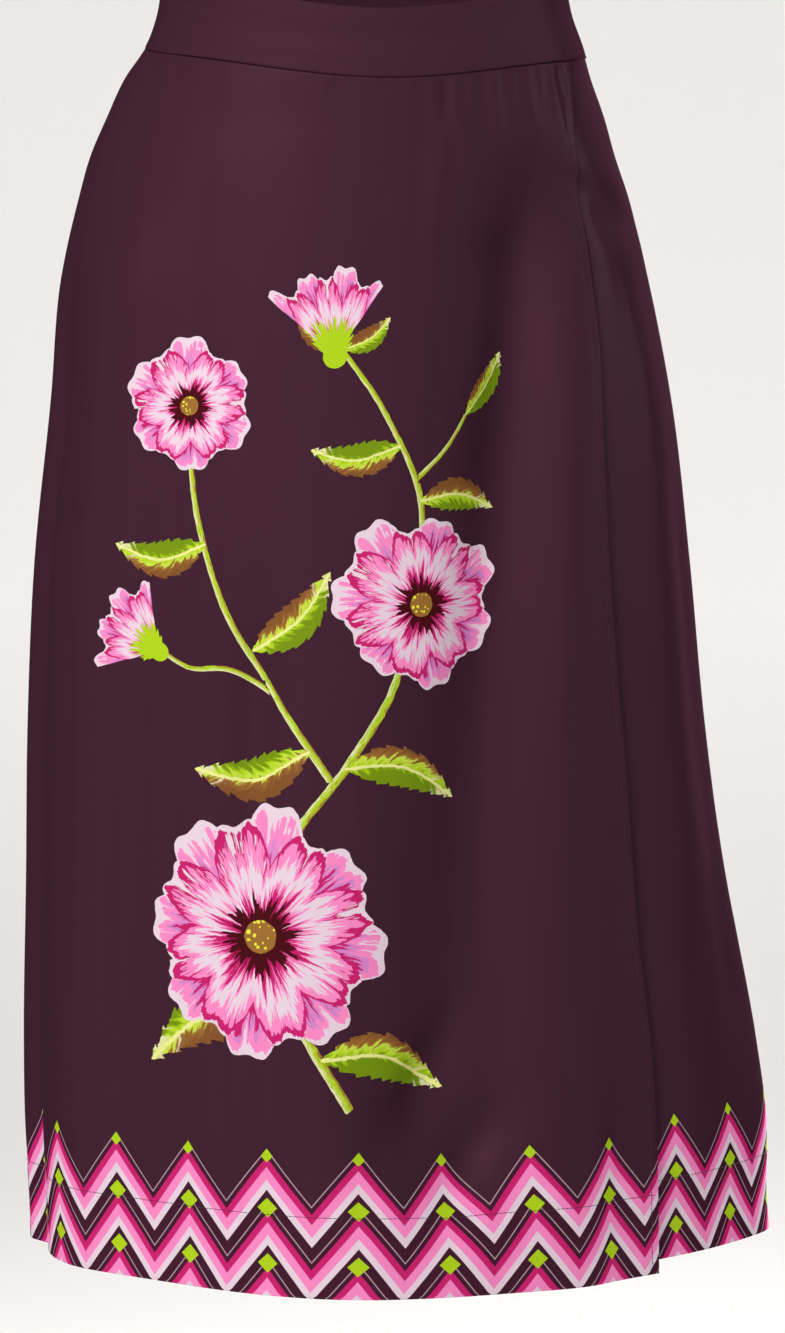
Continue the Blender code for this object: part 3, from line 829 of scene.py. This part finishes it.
def border_ink(tree, ground):
    """The printed border: bands in a zigzag, with small diamonds in the gaps between them."""
    along, height, _ = split(tree, add(tree, "UVMap", uv_map="hemline"))
    off_peak = calc(tree, "PINGPONG", along, BORDER_REPEAT / 2)
    slope = BORDER_ROW / (BORDER_REPEAT / 2)
    below_top = calc(tree, "SUBTRACT", BORDER_TOP, height)
    depth = calc(tree, "MULTIPLY_ADD", off_peak, -slope, below_top)
    in_row = calc(tree, "FRACT", calc(tree, "DIVIDE", depth, BORDER_ROW))
    inks = [(0.0, OUTLINE), (0.028, AUBERGINE), (0.15, MAGENTA), (0.33, PINK), (0.56, PALE),
            (0.74, AUBERGINE)]
    bands = ramp(tree, in_row, inks, "CONSTANT")
    inside = calc(tree, "GREATER_THAN", depth, 0.0)
    inked = blend(tree, inside, ground, bands)
    # A diamond on each peak's line, in the gap under each row of bands
    gap = calc(tree, "DIVIDE", below_top, BORDER_ROW)
    gap = calc(tree, "FRACT", calc(tree, "ADD", gap, DIAMOND_PLACE))
    gap = calc(tree, "ABSOLUTE", calc(tree, "SUBTRACT", gap, 0.5))
    spread = calc(tree, "MULTIPLY_ADD", gap, BORDER_ROW * DIAMOND_LEAN, off_peak)
    diamond = times(tree, calc(tree, "LESS_THAN", spread, DIAMOND_HALF), inside)
    return blend(tree, diamond, inked, colour(LIME))


def brush(tree, uv_map, strength, scale):
    """A motif's map, shifted a little here and there as a brush would."""
    exact = add(tree, "UVMap", uv_map=uv_map)
    wander = noise(tree, add(tree, "UVMap", uv_map="cut"), scale, 3.0)
    shift = add(tree, "VectorMath", wander.outputs["Color"], (0.5, 0.5, 0.5), operation="SUBTRACT")
    shift = add(tree, "VectorMath", shift, operation="SCALE", sockets={"Scale": strength})
    return add(tree, "VectorMath", exact, shift, operation="ADD")


def stem_ink(tree, ground):
    """Stems: a lit side, a brown side and pale strokes."""
    along, across, _ = split(tree, brush(tree, "stem", 0.5, 160.0))
    length, _, _ = form_of(tree, "stem")
    share = calc(tree, "DIVIDE", along, length)
    inside = calc(tree, "ABSOLUTE", calc(tree, "SUBTRACT", share, 0.5))
    # A stem thins by nearly a third from its foot to its tip
    width = calc(tree, "MULTIPLY_ADD", share, -0.35, 1.15)
    width = times(tree, width, calc(tree, "LESS_THAN", inside, 0.5))
    off = calc(tree, "ABSOLUTE", across)
    cover = calc(tree, "LESS_THAN", off, width)
    strokes = noise(tree, add(tree, "CombineXYZ", along, across), 5.0, 2.0)
    tone = calc(tree, "MULTIPLY_ADD", across, 0.22, strokes)
    inks = [(0.30, OCHRE), (0.42, LIME), (0.56, LIME), (0.66, CREAM)]
    return blend(tree, cover, ground, ramp(tree, tone, inks))


def leaf_ink(tree, ground):
    """Leaves: one half lit and one brown, streaked along their veins, with a midrib."""
    along, across, _ = split(tree, brush(tree, "leaf", 0.03, 260.0))
    width, hue, _ = form_of(tree, "leaf")
    bow = calc(tree, "POWER", calc(tree, "MAXIMUM", along, 0.0), 0.8)
    bow = calc(tree, "SINE", times(tree, bow, math.pi))
    # Nine small teeth cut the edge
    teeth = calc(tree, "FRACT", times(tree, along, 9.0))
    edge = times(tree, calc(tree, "MULTIPLY_ADD", teeth, -0.16, bow), width)
    off = calc(tree, "ABSOLUTE", across)
    cover = calc(tree, "LESS_THAN", off, edge)
    # Veins run forward from the midrib
    vein_run = calc(tree, "MULTIPLY_ADD", off, -1.1, along)
    vein_place = add(tree, "CombineXYZ", times(tree, vein_run, 26.0), times(tree, across, 9.0))
    veins = noise(tree, vein_place, 1.0, 2.0)
    side = calc(tree, "MULTIPLY_ADD", across, 4.0, hue)
    tone = calc(tree, "ADD", side, calc(tree, "SUBTRACT", veins, 0.55))
    inks = [(0.18, "6F8C12"), (0.34, LIME), (0.52, "BFD94A"), (0.60, OCHRE), (0.85, "7A4E28")]
    inks = ramp(tree, tone, inks)
    tip = calc(tree, "MULTIPLY_ADD", along, 0.9, veins)
    pale = add(tree, "MapRange", tip, 1.22, 1.36, 0.0, 0.85)
    inks = blend(tree, pale, inks, colour(CREAM))
    rib = calc(tree, "LESS_THAN", off, 0.012)
    inks = blend(tree, rib, inks, colour("DDE08A"))
    return blend(tree, cover, ground, inks)


def petals_ink(tree, ground, polar, reach, offset, inks, notch):
    """One whorl of petals, in strokes from the eye outwards."""
    turns, radius, in_fan = polar
    shifted = calc(tree, "ADD", turns, 0.5 + offset)
    which = calc(tree, "FLOOR", shifted)
    across = calc(tree, "SUBTRACT", calc(tree, "FRACT", shifted), 0.5)
    off = calc(tree, "ABSOLUTE", across)
    chance = add(tree, "TexWhiteNoise", which, noise_dimensions="1D")
    length = add(tree, "MapRange", chance, 0.0, 1.0, reach * 0.9, reach)
    # A rounded tip with two shallow notches
    sides = calc(tree, "POWER", times(tree, off, 2.0), 3.2)
    tip = calc(tree, "MULTIPLY_ADD", sides, -0.42, 1.0)
    lobes = calc(tree, "COSINE", times(tree, across, 18.0))
    tip = calc(tree, "MULTIPLY_ADD", lobes, -notch, tip)
    edge = times(tree, tip, length)
    cover = times(tree, calc(tree, "LESS_THAN", radius, edge), in_fan)
    out = calc(tree, "DIVIDE", radius, edge)
    place = add(tree, "CombineXYZ", times(tree, turns, 13.0), times(tree, radius, 1.6), chance)
    strokes = noise(tree, place, 1.0, 3.0, Roughness=0.65)
    spikes = add(tree, "MapRange", strokes, 0.3, 0.7, -0.24, 0.24)
    # The strokes thin out towards the rim, which keeps a clean pale edge
    calm = add(tree, "MapRange", out, 0.82, 0.93, 1.0, 0.15)
    tone = calc(tree, "MULTIPLY_ADD", spikes, calm, out)
    tone = calc(tree, "MULTIPLY_ADD", off, -0.22, tone)
    shifted_tone = add(tree, "MapRange", chance, 0.0, 1.0, -0.05, 0.13)
    tone = calc(tree, "MULTIPLY_ADD", shifted_tone, calm, tone)
    return blend(tree, cover, ground, ramp(tree, tone, inks, "CONSTANT"))


def bloom_ink(tree, ground):
    """Blooms: two whorls of broad petals round a dark eye with yellow stamens."""
    place = brush(tree, "bloom", 0.022, 200.0)
    petals, fan, eye_share = form_of(tree, "bloom")
    radius = add(tree, "VectorMath", place, operation="LENGTH").outputs["Value"]
    x, y, _ = split(tree, place)
    angle = calc(tree, "ARCTAN2", y, x)
    turns = times(tree, calc(tree, "DIVIDE", angle, 2 * math.pi), petals)
    swing = calc(tree, "ABSOLUTE", angle)
    in_fan = calc(tree, "LESS_THAN", swing, fan)
    polar = (turns, radius, in_fan)
    back = [(0.0, DEEP), (0.40, MAGENTA), (0.66, LILAC), (0.78, PINK), (0.91, PALE)]
    front = [(0.0, DEEP), (0.22, MAGENTA), (0.38, PINK), (0.47, PALE), (0.70, PINK),
             (0.86, MAGENTA), (0.94, PALE)]
    inked = petals_ink(tree, ground, polar, 1.0, 0.5, back, 0.02)
    inked = petals_ink(tree, inked, polar, 0.88, 0.0, front, 0.03)
    rays = add(tree, "CombineXYZ", times(tree, turns, 3.2), radius)
    ragged = noise(tree, rays, 2.0, 2.0)
    # A bud shows no eye, but sits in a green cup
    is_bud = calc(tree, "LESS_THAN", eye_share, 0.01)
    cup_edge = add(tree, "MapRange", ragged, 0.35, 0.65, 0.24, 0.46)
    round_back = calc(tree, "SUBTRACT", swing, fan)
    round_back = add(tree, "MapRange", round_back, -0.1, 0.5, 0.0, 1.0)
    cup_edge = add(tree, "Mix", round_back, cup_edge, 0.13, data_type="FLOAT")
    cup = times(tree, calc(tree, "LESS_THAN", radius, cup_edge), is_bud)
    inked = blend(tree, cup, inked, colour(LIME))
    eye_edge = times(tree, add(tree, "MapRange", ragged, 0.3, 0.7, 0.55, 1.5), eye_share)
    eye = calc(tree, "LESS_THAN", radius, eye_edge)
    inked = blend(tree, eye, inked, colour(EYE))
    # Yellow stamens dot the eye's ochre heart
    dots = add(tree, "TexVoronoi", place, sockets={"Scale": 19.0, "Randomness": 0.7})
    dot = calc(tree, "LESS_THAN", dots.outputs["Distance"], 0.34)
    heart = calc(tree, "LESS_THAN", radius, times(tree, eye_share, 0.52))
    inked = blend(tree, heart, inked, colour(OCHRE))
    dot = times(tree, dot, heart)
    return blend(tree, dot, inked, colour(YELLOW))


def new_material(name, sockets):
    """A material whose shader takes these values, its node tree and its shader."""
    material = bpy.data.materials.new(name)
    material.use_nodes = True
    tree = material.node_tree
    shader = tree.nodes["Principled BSDF"]
    feed(tree, shader, sockets)
    return material, tree, shader


def satin(name, border=False, spray=False, roughness=0.42, gloss=0.06, dull=0.0, along_band=False):
    """Woven polyester satin: long floats of bright yarn give the cloth its soft broad shine."""
    material, tree, shader = new_material(name, {
        "Roughness": roughness,
        "IOR": 1.5,
        "Specular Tint": colour("FFAEE0"),
        "Sheen Weight": 0.004,
        "Sheen Roughness": 0.3,
        "Sheen Tint": colour("C89AAE"),
    })
    shade = satin_ground(tree, along_band)
    if border:
        shade = border_ink(tree, shade)
    if spray:
        shade = stem_ink(tree, shade)
        shade = leaf_ink(tree, shade)
        shade = bloom_ink(tree, shade)
    if dull:
        shade = blend(tree, dull, shade, colour(AUBERGINE))
    # Threads of 0.12 mm lie too close to show, so the weave's floats are drawn five times as wide
    cut = add(tree, "UVMap", uv_map="cut")
    weave = add(tree, "TexWave", cut, wave_type="BANDS", bands_direction="DIAGONAL",
                sockets={"Scale": 2 * math.pi / (20 * FLOAT_WIDTH), "Distortion": 1.5,
                         "Detail": 2.0, "Detail Scale": 2.0})
    relief = add(tree, "Bump", sockets={"Strength": 0.10, "Distance": 0.05 * MM, "Height": weave})
    # Seen aslant, the floats hide one another's bright tops: the shine fades towards the outline
    aslant = add(tree, "LayerWeight", 0.5).outputs["Facing"]
    shine = add(tree, "MapRange", aslant, SHINE_FULL, SHINE_GONE, gloss, 0.0)
    feed(tree, shader, {"Base Color": shade, "Normal": relief, "Specular IOR Level": shine})
    return material


thread, _, _ = new_material("spun_polyester_thread",
                            {"Base Color": colour("2C141E"), "Roughness": 0.65})
printed_satin = satin("printed_polyester_satin", border=True, spray=True)
bordered_satin = satin("border_printed_polyester_satin", border=True)
plain_satin = satin("dyed_polyester_satin")
# The band's colour streaks are partly a painted sheen
band_satin = satin("interfaced_polyester_satin", roughness=0.55, along_band=True)
wrong_side = satin("polyester_satin_wrong_side", border=True, roughness=0.7, gloss=0.1, dull=0.75)


def dress(piece, *materials):
    for material in materials:
        piece.data.materials.append(material)


overlap = panel(
    "overlap_satin", "front_overlap", UPPER_LAYER, free_edge_way, UPPER_COLUMNS, upper=True,
    free_edge=-1,
)
lay_print(*overlap[:4])
dress(overlap.piece, printed_satin, wrong_side, plain_satin)
underlap = panel(
    "underlap_satin", "front_underlap", INNER_END, lambda drop: LEFT_SEAM, UNDER_COLUMNS,
    free_edge=0,
)
dress(underlap.piece, bordered_satin, wrong_side, plain_satin)
back = panel("back_satin", "back", LEFT_SEAM, lambda drop: UPPER_LAYER, BACK_COLUMNS, grain=2.0)
dress(back.piece, bordered_satin, wrong_side, plain_satin)
band = waistband()
dress(band, band_satin)

left_turnings = seam_turnings("left_seam_turnings", LEFT_SEAM)
right_turnings = seam_turnings("right_seam_turnings", UPPER_LAYER)
dress(left_turnings, wrong_side)
dress(right_turnings, wrong_side)

overlap_hem = hem_stitching("overlap_hem_stitching", overlap)
underlap_hem = hem_stitching("underlap_hem_stitching", underlap)
back_hem = hem_stitching("back_hem_stitching", back)
overlap_edge = edge_stitching("overlap_edge_stitching", overlap)
underlap_edge = edge_stitching("underlap_edge_stitching", underlap)

# Nickel-plated steel, stamped and tumbled: bright, with a faint satin grain
nickel, tree, shader = new_material(
    "nickel_plated_steel", {"Base Color": colour("C9C6C0"), "Roughness": 0.26, "Metallic": 1.0}
)
grain = noise(tree, None, 900.0, 2.0)
relief = add(tree, "Bump", sockets={"Strength": 0.15, "Distance": 0.02 * MM, "Height": grain})
feed(tree, shader, {"Normal": relief})
for name in ("outer_hook", "outer_bar", "inner_hook", "inner_bar"):
    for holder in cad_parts[name].material_slots:
        holder.material = nickel

profile = [(radius, -FLOOR_DROP) for radius in (0.0, 2.0, 4.5, FLOOR_RADIUS)]
sweep = [(math.sin(a), 1 - math.cos(a)) for a in np.linspace(0.1, math.pi / 2, 16)]
profile += [(FLOOR_RADIUS + FLOOR_SWEEP * out, FLOOR_SWEEP * up - FLOOR_DROP) for out, up in sweep]
profile += [(FLOOR_RADIUS + FLOOR_SWEEP, WALL_TOP)]
turns = 2 * math.pi * np.arange(FLOOR_SPOKES) / FLOOR_SPOKES
studio = bpy.data.meshes.new("studio_floor")
rings = [(r * math.sin(a), r * math.cos(a), z) for r, z in profile for a in turns]
studio.from_pydata(rings, [], tube(len(profile), FLOOR_SPOKES).tolist())
studio.shade_smooth()
studio_floor = put_in_scene("studio_floor", studio)
# Paint on the inner face alone: from outside it lets every view through
paint, tree, shader = new_material("painted_studio_floor",
                                   {"Base Color": colour("F4F2F0"), "Roughness": 0.9})
outside = add(tree, "NewGeometry").outputs["Backfacing"]
seen = add(tree, "MixShader", outside, shader, add(tree, "BsdfTransparent"))
feed(tree, tree.nodes["Material Output"], {"Surface": seen})
studio_floor.data.materials.append(paint)

world = bpy.data.worlds.new("studio")
bpy.context.scene.world = world
world.use_nodes = True
tree = world.node_tree
feed(tree, tree.nodes["Background"], {"Color": colour("FBF9F8"), "Strength": 0.12})

# Round soft lamps: the size in metres, the spread in degrees and the power in watts
Lamp = namedtuple("Lamp", "name place target size spread power tint")
LAMPS = [Lamp(*row) for row in (
    ("key", (-2.0, -3.8, 2.7), (-0.08, 0, -0.08), 1.8, 44, 20.2, "FFFCFA"),
    ("side", (4.3, 1.0, 1.0), (0, 0, -0.05), 1.6, 30, 4.4, "FFFFFF"),
    ("behind", (2.4, 4.0, 1.6), (0, 0, -0.35), 1.6, 45, 29, "FFFFFF"),
    ("sky", (0.0, 6.2, 6.0), (0, 6.6, -1.15), 7.5, 165, 375, "FFFFFF"),
    ("front_sky", (0.0, -7.4, 6.5), (0, -9.0, -0.2), 4.0, 60, 20, "FFFFFF"),
)]


def aim(thing, place, target):
    """Stands a lamp or camera at a place and turns it to its target."""
    thing.location = place
    way = Vector(target) - Vector(place)
    thing.rotation_euler = way.to_track_quat("-Z", "Y").to_euler()


for lamp in LAMPS:
    light = bpy.data.lights.new(lamp.name, "AREA")
    light.shape = "DISK"
    light.size = lamp.size
    light.spread = math.radians(lamp.spread)
    light.energy = lamp.power
    light.color = colour(lamp.tint)[:3]
    aim(put_in_scene(lamp.name, light), lamp.place, lamp.target)

bpy.context.scene.view_settings.view_transform = "Standard"
camera = put_in_scene("camera", bpy.data.cameras.new("camera"))
aim(camera, CAMERA_PLACE, CAMERA_TARGET)
camera.data.lens, camera.data.sensor_width = CAMERA_LENS, CAMERA_SENSOR
bpy.context.scene.camera = camera
